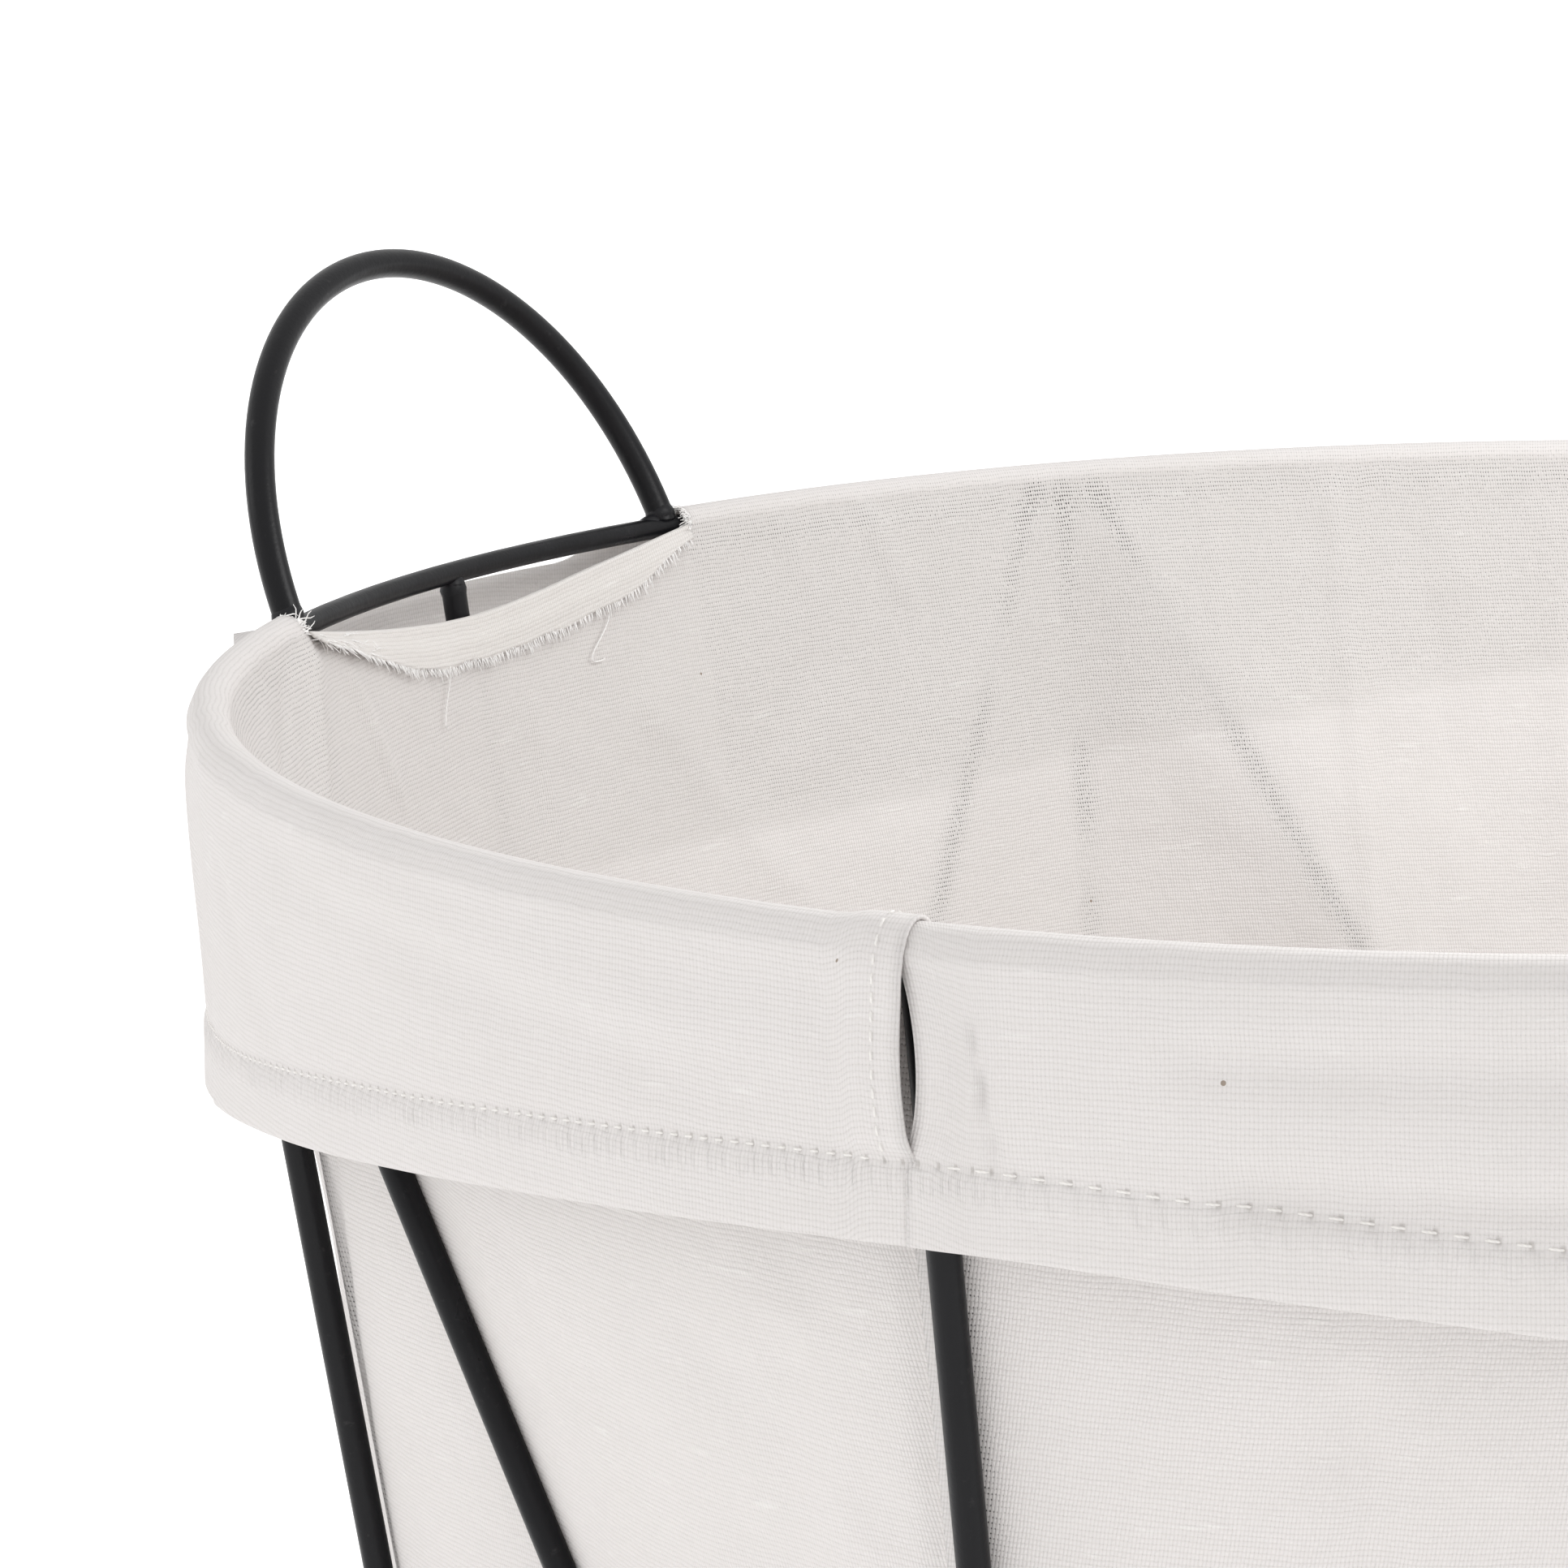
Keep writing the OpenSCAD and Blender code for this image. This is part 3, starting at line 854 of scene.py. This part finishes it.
def build_bottom():
    """Round bottom panel that sags a little between the base bars, with its edge turned up
    inside the wall as the seam allowance."""
    angles = np.arange(0, 360, 1.5)
    z_rest = FLOOR_Z + CLOTH / 2 + 0.1 * MM
    wall = wall_radius(angles, FLOOR_Z + 6 * MM) - 1.1 * MM
    shares = np.concatenate([np.linspace(0.004, 0.97, 58), [0.985]])
    points, lengths = [], []
    for share in shares:
        r = wall * share
        a = np.radians(angles)
        sag = 2.0 * MM * np.sin(2 * a) ** 2 * smooth(share / 0.45) * smooth((1 - share) / 0.25)
        ruck = waves(angles, share * 0.3, 7.0 * share + 0.4, 41.0) * 0.5 * MM * smooth((1 - share) / 0.15)
        points.append(polar(r, angles, z_rest - sag + np.abs(ruck)))
        lengths.append(points[-1][:, :2])
    for i in range(1, 9):
        f = i / 8
        up = 8.0 * MM * f
        turn = smooth(f * 3)
        r = wall * (0.985 + 0.013 * turn) - (0.5 + 0.4 * np.sin(angles * 0.9) ** 2) * MM * smooth(f * 2 - 1)
        z = z_rest + up + waves(angles, 0.1, 30.0, 5.0) * 0.5 * MM * f
        points.append(polar(r, angles, z))
        lengths.append(polar(wall * 0.985 + up, angles, z)[:, :2])
    points, lengths = np.array(points), np.array(lengths)
    obj = grid_piece("liner_bottom_panel", points, lengths, np.zeros_like(lengths), closed=True)
    close_centre(obj.data, len(angles))
    thicken(obj, CLOTH)
    finish_piece(obj, "liner", CANVAS)
    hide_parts("liner_bottom")
    return obj, points


def close_centre(mesh, count):
    """Closes the small hole in the middle of the bottom panel, which has count edges."""
    b = bmesh.new()
    b.from_mesh(mesh)
    ends = [(e.verts[0].co.length + e.verts[1].co.length, e.index) for e in b.edges if e.is_boundary]
    b.edges.ensure_lookup_table()
    inner = [b.edges[i] for _, i in sorted(ends)[:count]]
    made = bmesh.ops.contextual_create(b, geom=inner)
    for face in made["faces"]:
        face.smooth = True
    b.to_mesh(mesh)
    b.free()


bottom_panel, bottom_points = build_bottom()

# ---------------------------------------------------------------- slit bands and their fray


def slit_columns(side):
    y = np.linspace(-SLIT_HALF + 1.0 * MM, SLIT_HALF - 1.0 * MM, 130)
    theta = np.degrees(np.arcsin(y / RIM_R))
    return (180 - theta) if side < 0 else theta, y


def band_shape(side):
    """Rows of the raw edge that is folded over at the slit and turned down inside the wall."""
    theta, y = slit_columns(side)
    edge = RIM_Z - slit_edge_drop(theta)
    wall = wall_radius_each(theta, edge)
    below = wall_radius_each(theta, edge - FACING_HEIGHT)
    at_front = 1 - 0.84 * smooth((-y / MM - 14) / 50)
    at_back = 1 - 0.80 * smooth((y / MM - 40) / 25)
    ragged = np.array([noise.noise(Vector((t * 0.35, 2.0 * side, 0))) for t in theta])
    width = FACING_HEIGHT * at_front * at_back * (1 + 0.10 * ragged)
    puff = np.abs(np.array([noise.noise(Vector((t * 0.22, 5.0, side))) for t in theta]))
    lift = (0.15 + 0.55 * puff) * MM * at_front * at_back
    turn = 0.50 * MM
    rows = []
    for i in range(7):
        a = math.pi * i / 6
        rows.append((wall - turn + turn * math.cos(a), edge + 0.15 * MM + turn * math.sin(a)))
    for i in range(1, 11):
        f = i / 10
        radius = wall * (1 - f) + below * f - 2 * turn - lift * f + 0.12 * MM * math.sin(f * 9)
        rows.append((radius, edge + 0.15 * MM - width * f))
    return np.array([polar(r, theta, z) for r, z in rows]), y


def build_band(side_name):
    points, y = band_shape(SIDES[side_name])
    steps = np.linalg.norm(np.diff(points, axis=0), axis=2)
    along = np.concatenate([np.zeros((1, len(y))), np.cumsum(steps, 0)])
    lengths = np.stack([np.broadcast_to(y, along.shape), along], 2)
    marks = np.zeros_like(lengths)
    obj = grid_piece(f"slit_band_{side_name}", points, lengths, marks)
    thicken(obj, 0.45 * MM)
    finish_piece(obj, "liner", RAW_BAND)
    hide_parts(f"slit_facing_{side_name}")
    return obj


def wander(start, way, length, rng, steps=5, curl=0.5, drop=0.0):
    """Points of a short loose thread."""
    p, d = Vector(start), Vector(way).normalized()
    path = [p.copy()]
    for _ in range(steps):
        stray = Vector((rng.gauss(0, curl), rng.gauss(0, curl), rng.gauss(0, curl) - drop))
        d = (d + stray * 0.5).normalized()
        p = p + d * length / steps
        path.append(p.copy())
    return path


def comb_ends(soup, rng, points):
    """Short thread ends side by side below the band."""
    low, above = points[-1], points[-3]
    for i in range(2, len(low) - 2):
        for _ in range(3):
            f = rng.random()
            start = Vector(low[i] * (1 - f) + low[i + 1] * f)
            down = (Vector(low[i]) - Vector(above[i])).normalized()
            inward = -Vector((start.x, start.y, 0)).normalized()
            sideways = inward.cross(Vector((0, 0, 1)))
            way = down + inward * rng.uniform(0.10, 0.45) + sideways * rng.gauss(0.25, 0.13)
            length = rng.uniform(0.9, 2.1) * MM * (1.5 if rng.random() < 0.12 else 1.0)
            path = wander(start - down * 0.6 * MM, way, length + 0.6 * MM, rng, 3, 0.09)
            soup.tube(path, [0.12 * MM, 0.11 * MM, 0.10 * MM, 0.04 * MM], 4)


def foot_tufts(soup, rng, side):
    """Frayed cloth round the rim wire at the handle's feet."""
    foot_x = math.sqrt(RIM_R ** 2 - SLIT_HALF ** 2)
    for end in (-1, 1):
        out = Vector((side * foot_x, end * SLIT_HALF, 0)).normalized()
        along = Vector((-out.y, out.x, 0)) * -end * side
        for _ in range(150):
            t = rng.uniform(0.3, 3.7) if rng.random() < 0.4 else rng.uniform(2.1, 3.9)
            round_wire = out * math.cos(t) + Vector((0, 0, math.sin(t)))
            start = out * RIM_R + Vector((0, 0, RIM_Z))
            start += round_wire * (FOLD_R + rng.uniform(-0.2, 0.25) * MM)
            if t > 3.1:
                start.z -= rng.uniform(0, 6.0) * MM
            start -= along * 0.5 * MM
            long = rng.random() < (0.30 if end < 0 else 0.12)
            way = along + round_wire * rng.gauss(0.12, 0.25) + Vector((0, 0, rng.gauss(-0.1, 0.3)))
            length = rng.uniform(2.2, 4.8) * MM if long else rng.uniform(1.0, 2.4) * MM
            path = wander(start, way, length, rng, 5, 0.55 if long else 0.3, 0.12)
            soup.tube(path, [r * MM for r in (0.15, 0.14, 0.13, 0.12, 0.10, 0.05)], 4)


def band_wisps(soup, rng, side, points):
    """Wisps on the band's front end."""
    for _ in range(60):
        i = rng.randrange(1, 26)
        start = Vector(points[rng.randrange(5, 15)][i])
        inward = -Vector((start.x, start.y, 0)).normalized()
        along = inward.cross(Vector((0, 0, 1))) * (1 if side < 0 else -1)
        along = along if along.y > 0 else -along
        way = along * rng.gauss(0.8, 0.3) + inward * rng.uniform(0.1, 0.7)
        way += Vector((0, 0, rng.gauss(-0.7, 0.35)))
        path = wander(start, way, rng.uniform(1.2, 3.8) * MM, rng, 5, 0.30, 0.05)
        soup.tube(path, [r * MM for r in (0.12, 0.12, 0.11, 0.10, 0.08, 0.04)], 4)


# Loose threads on the wall: angle and depth (mm) of the top, turn, fall (mm) and hook
LOOSE_THREADS = [(169.7, 13.0, 1.5, 8.4, 1.0), (183.6, 14.4, 1.1, 11.1, 0.3)]


def loose_threads(soup, side):
    for angle, depth, turn, fall, hook in LOOSE_THREADS:
        path = []
        for k in range(13):
            f = k / 12
            a = angle + turn * f + hook * 0.9 * math.sin(f * math.pi) ** 2 - hook * 0.8 * smooth(f * 3 - 2)
            a = a if side < 0 else 180 - a
            z = RIM_Z - (depth + fall * math.sin(f * math.pi * (0.5 + 0.12 * hook))) * MM
            r = float(wall_radius(np.array([a % 360]), z)[0]) - (1.5 - 0.5 * f) * MM
            path.append((r * math.cos(math.radians(a)), r * math.sin(math.radians(a)), z))
        soup.tube(path, [0.12 * MM] * 12 + [0.05 * MM], 6)


def build_fray(side_name):
    side = SIDES[side_name]
    rng = random.Random(17 + side)
    soup = Soup()
    points, _ = band_shape(side)
    comb_ends(soup, rng, points)
    foot_tufts(soup, rng, side)
    band_wisps(soup, rng, side, points)
    loose_threads(soup, side)
    finish_piece(soup.piece(f"slit_fray_{side_name}"), "liner", FRAY_PAINTED_LIGHT)


for side_name in SIDES:
    build_band(side_name)
    build_fray(side_name)

# ---------------------------------------------------------------- stitches


def stitch_row(soup, path, normals, pitch, length, radius, rng):
    """Small stitches along a path, each a short thread that dives into the cloth at its ends."""
    steps = np.linalg.norm(np.diff(path, axis=0), axis=1)
    along = np.concatenate([[0], np.cumsum(steps)])
    count = int(along[-1] / pitch)
    for k in range(count):
        middle = (k + 0.5) * along[-1] / count
        line = []
        for f in (-0.5, -0.36, 0.0, 0.36, 0.5):
            at = middle + f * length * rng.uniform(0.93, 1.07)
            p = np.array([np.interp(at, along, path[:, j]) for j in range(3)])
            nrm = np.array([np.interp(at, along, normals[:, j]) for j in range(3)])
            height = radius * (0.35 if abs(f) < 0.4 else -0.8)
            line.append(Vector(p + nrm * height))
        up = Vector(nrm).normalized()
        soup.tube(line, [radius * 0.7, radius, radius * 1.05, radius, radius * 0.7], 6, 0.85, up)


def surface_normals(points):
    """Normals of a panel's grid of points, all on one side of the cloth."""
    n = np.cross(np.gradient(points, axis=1), np.gradient(points, axis=0))
    return n / np.maximum(np.linalg.norm(n, axis=2, keepdims=True), 1e-12)


def build_hem_stitches(side_name):
    points = panel_points[side_name]
    rng = random.Random(5)
    soup = Soup()
    outward = surface_normals(points)[STITCH_ROW]
    path = points[STITCH_ROW].copy()
    outward = outward * np.sign((outward[:, :2] * path[:, :2]).sum(1))[:, None]
    surface = path + outward * CLOTH / 2
    pitch = STITCH_PITCH[side_name] * MM
    stitch_row(soup, surface[3:-3], outward[3:-3], pitch, pitch * 0.5, 0.19 * MM, rng)
    return finish_piece(soup.piece(f"hem_stitches_{side_name}"), "liner", THREAD)


SEAM_INSET = 4.0 * MM


def build_seam_stitches(end_name):
    """A row of stitches through the lap, from the bottom over the rim down to the hem."""
    points = panel_points["left"]
    theta = panel_angles["left"]
    inset = math.degrees(SEAM_INSET / RIM_R)
    place = 270.0 - inset if end_name == "front" else 90.0 + inset
    column = int(np.argmin(np.abs(theta - place)))
    path = points[:STITCH_ROW, column]
    normal = surface_normals(points)[:STITCH_ROW, column]
    inside = -np.stack([path[:, 0], path[:, 1], np.zeros(len(path))], 1)
    normal = normal * np.sign((normal[:5] * inside[:5]).sum())
    soup = Soup()
    surface = path + normal * CLOTH / 2
    stitch_row(soup, surface, normal, 2.4 * MM, 1.4 * MM, 0.20 * MM, random.Random(9))
    obj = finish_piece(soup.piece(f"seam_stitches_{end_name}"), "liner", THREAD)
    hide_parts(f"cuff_seam_{end_name}")


def build_bottom_stitches():
    """Overlocked edge of the bottom seam inside the liner."""
    rng = random.Random(3)
    soup = Soup()
    ring = np.concatenate([bottom_points[-4], bottom_points[-4][:1]])
    inward = -np.stack([ring[:, 0], ring[:, 1], np.zeros(len(ring))], 1)
    inward = inward / np.linalg.norm(inward, axis=1, keepdims=True)
    stitch_row(soup, ring + inward * CLOTH / 2, inward, 3.0 * MM, 2.2 * MM, 0.24 * MM, rng)
    edge = np.concatenate([bottom_points[-1], bottom_points[-1][:1]])
    count = 420
    for k in range(count):
        i = k * (len(edge) - 1) / count
        j = int(i)
        p = Vector(edge[j] * (1 - i + j) + edge[j + 1] * (i - j))
        into = -Vector((p.x, p.y, 0)).normalized()
        side = into.cross(Vector((0, 0, 1)))
        lean = side * (0.7 if k % 2 else -0.7) * MM
        loop = [p - Vector((0, 0, 3.0 * MM)) + into * 0.45 * MM - lean, p + into * 0.5 * MM,
                p + Vector((0, 0, 0.45 * MM)), p - into * 0.35 * MM]
        soup.tube(loop, [0.16 * MM] * 4, 5)
    finish_piece(soup.piece("bottom_seam_overlock"), "liner", THREAD)


hem_stitches = {side_name: build_hem_stitches(side_name) for side_name in SIDES}
for end_name in ("front", "back"):
    build_seam_stitches(end_name)
build_bottom_stitches()

# ---------------------------------------------------------------- floor, light and camera


def build_stage():
    """Large pale floor."""
    sides = 96
    mesh = bpy.data.meshes.new("studio_floor")
    rings = (0.5, 2.0, 6.0, 16.0)
    points = [(0, 0, 0)]
    for r in rings:
        points += [(r * math.cos(2 * math.pi * k / sides), r * math.sin(2 * math.pi * k / sides), 0)
                   for k in range(sides)]
    faces = [(0, 1 + k, 1 + (k + 1) % sides) for k in range(sides)]
    for ring in range(len(rings) - 1):
        first = 1 + ring * sides
        faces += [(first + k, first + sides + k, first + sides + (k + 1) % sides, first + (k + 1) % sides)
                  for k in range(sides)]
    mesh.from_pydata(points, [], faces)
    floor = link("studio_floor", mesh)
    n = Nodes("pale_floor")
    shader = n.fill("ShaderNodeBsdfPrincipled", {
        "Base Color": (0.90, 0.90, 0.90, 1), "Roughness": 0.9, "Specular IOR Level": 0.1,
        "Emission Color": (1, 1, 1, 1), "Emission Strength": 0.50})
    mesh.materials.append(n.surface(shader.outputs[0]))


def area_light(name, place, target, size, power, colour):
    light = bpy.data.lights.new(name, "AREA")
    light.shape = "DISK"
    light.size = size
    light.energy = power
    light.color = colour
    obj = bpy.data.objects.new(name, light)
    obj.location = place
    obj.rotation_euler = (Vector(target) - Vector(place)).to_track_quat("-Z", "Y").to_euler()
    obj.visible_camera = False
    bpy.context.scene.collection.objects.link(obj)


def build_light():
    world = bpy.data.worlds.new("studio")
    world.use_nodes = True
    background = world.node_tree.nodes["Background"]
    background.inputs["Color"].default_value = (1.0, 1.0, 1.0, 1)
    background.inputs["Strength"].default_value = 1.0
    bpy.context.scene.world = world
    aim = (0, 0, RIM_Z * 0.8)
    area_light("key_light", (-1.9, -1.1, 1.25), aim, 1.2, 4.2, (1.0, 0.995, 0.995))
    area_light("inside_light", (0.09, 0.0, 0.42), (0.07, 0.02, 0.0), 0.22, 0.78, (1.0, 1.0, 1.0))
    bpy.context.scene.view_settings.view_transform = "Standard"


LENS = 109.8
YAW, PITCH, ROLL = -30.81, 11.86, -1.86
CAMERA_PLACE = (0.2758, -0.7073, RIM_Z + 0.1392)


def build_camera():
    """The photograph's view: from the front right, a little above the rim, with a long lens."""
    data = bpy.data.cameras.new("camera")
    data.sensor_width = 36.0
    data.lens = LENS
    data.clip_start = 0.01
    data.clip_end = 60.0
    camera = bpy.data.objects.new("camera", data)
    yaw, pitch, roll = (math.radians(a) for a in (YAW, PITCH, ROLL))
    ahead = Vector((math.sin(yaw) * math.cos(pitch), math.cos(yaw) * math.cos(pitch), -math.sin(pitch)))
    level = Vector((math.cos(yaw), -math.sin(yaw), 0))
    upright = level.cross(ahead)
    right = level * math.cos(roll) + upright * math.sin(roll)
    up = upright * math.cos(roll) - level * math.sin(roll)
    rows = Matrix((right, up, -ahead)).transposed().to_4x4()
    rows.translation = Vector(CAMERA_PLACE)
    camera.matrix_world = rows
    bpy.context.scene.collection.objects.link(camera)
    bpy.context.scene.camera = camera


build_stage()
build_light()
build_camera()
